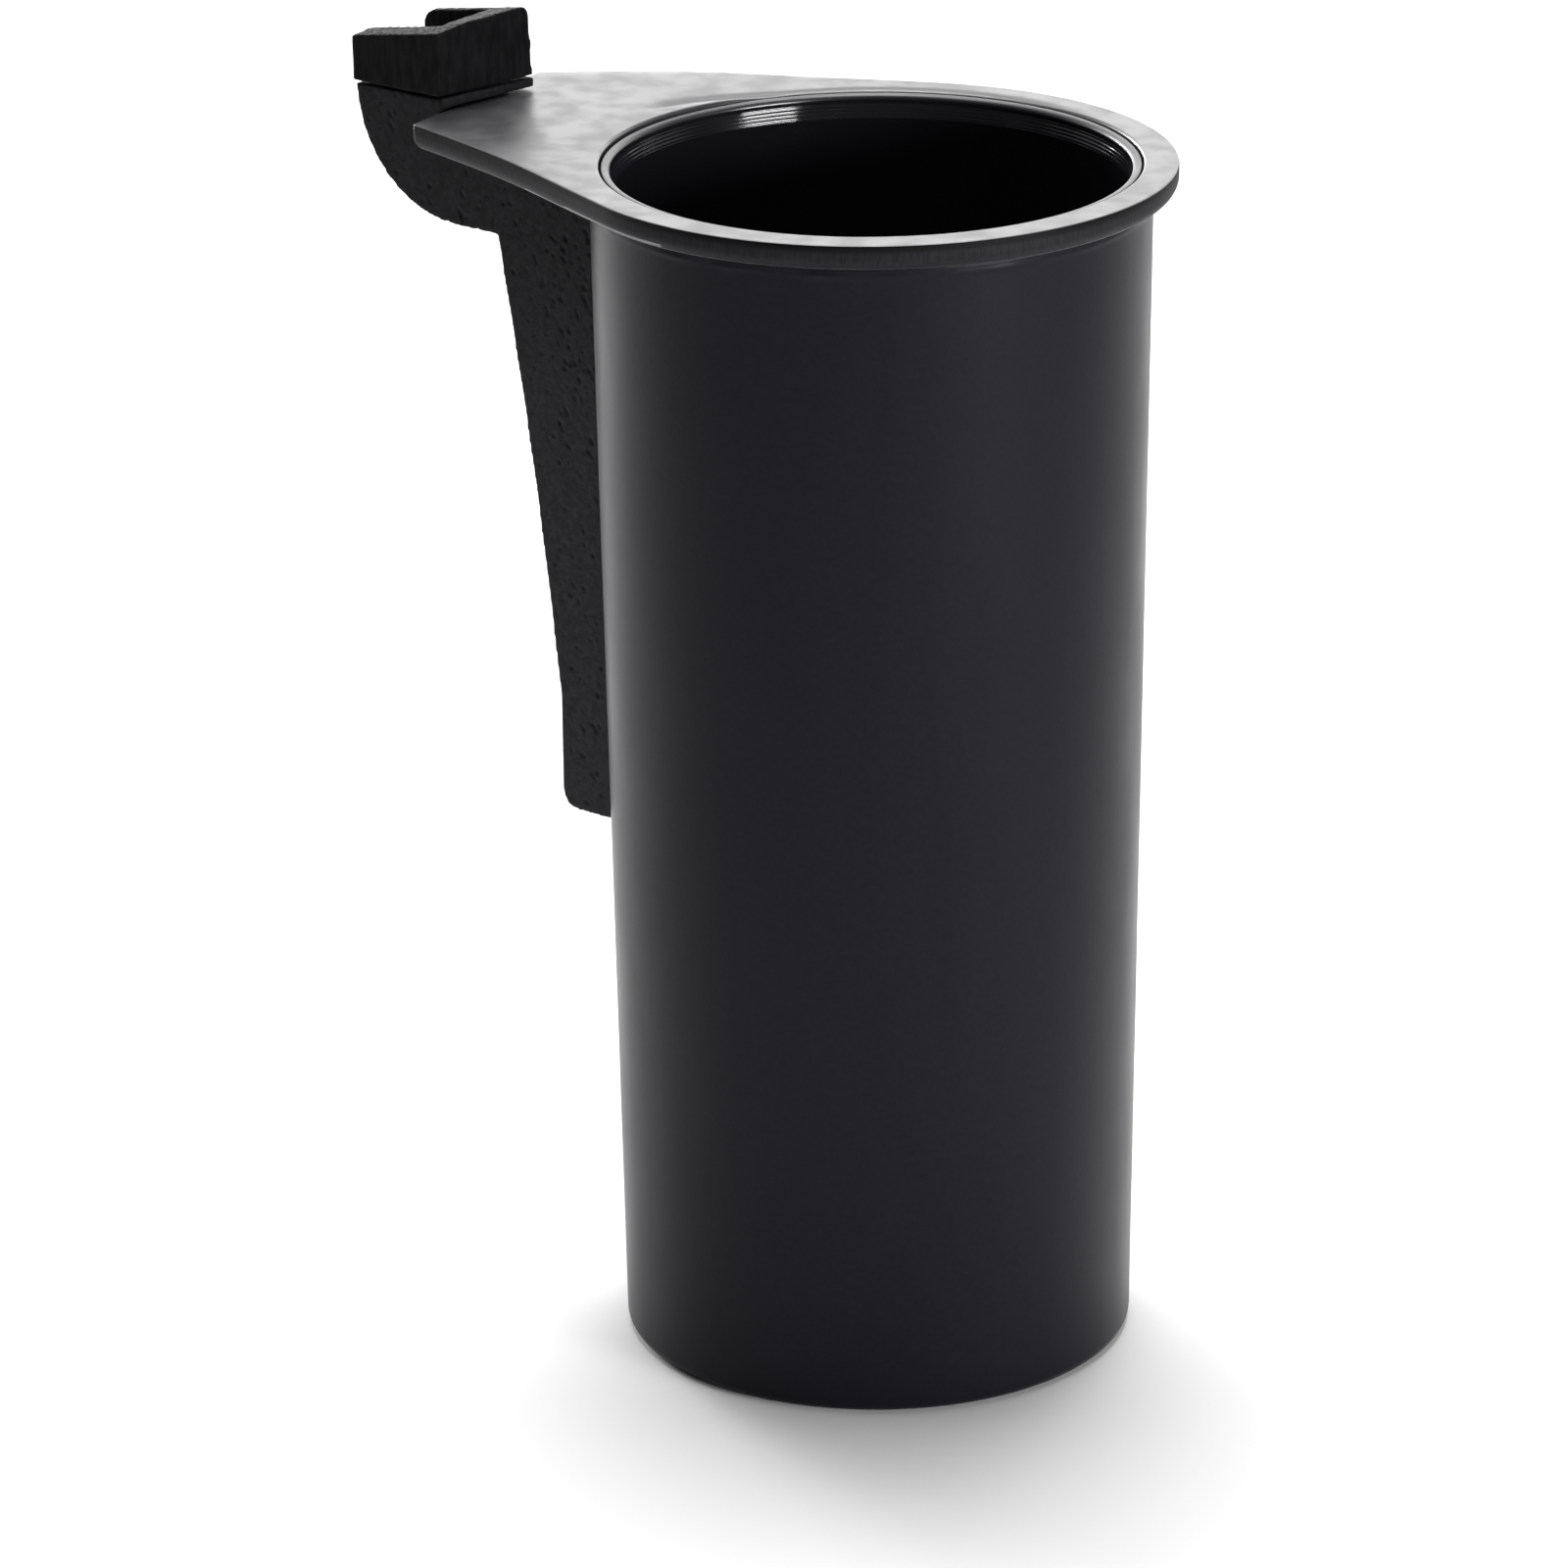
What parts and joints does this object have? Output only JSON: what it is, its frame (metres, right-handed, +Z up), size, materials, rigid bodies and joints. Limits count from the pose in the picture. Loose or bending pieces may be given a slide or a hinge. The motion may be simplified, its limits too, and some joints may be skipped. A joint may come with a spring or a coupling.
{
  "type": "cup holder",
  "caption": "Tall tapered cup holder with a lift-out inner cup, a teardrop top plate and a side bracket whose open jaw hooks it onto a desk fitting.",
  "frame": {"origin": "centre of the outer pot's flat underside", "axes": "+Z up along the pot's axis; -X towards the top plate's tip and the bracket; +Y completes a right-handed frame"},
  "size_m": [0.1182, 0.081, 0.1773],
  "materials": {
    "pot_satin": "satin charcoal",
    "plate_satin": "satin charcoal, smoother on top",
    "liner_gloss": "gloss black",
    "bracket_matt": "matt black, finely pitted",
    "jaw_rubber": "dusty matt black rubber",
    "screw_steel": "plain steel"
  },
  "bodies": {
    "holder": {"outer_pot": "pot_satin", "top_plate": "plate_satin", "bracket": "bracket_matt", "jaw_pad": "jaw_rubber", "bracket_screw_lower": "screw_steel", "bracket_screw_upper": "screw_steel"},
    "liner": {"inner_cup": "liner_gloss"}
  },
  "joints": [
    {"name": "cup_lift", "type": "slide", "parent": "holder", "child": "liner", "axis": [0, 0, 1], "range_m": [0, 0.17]}
  ]
}
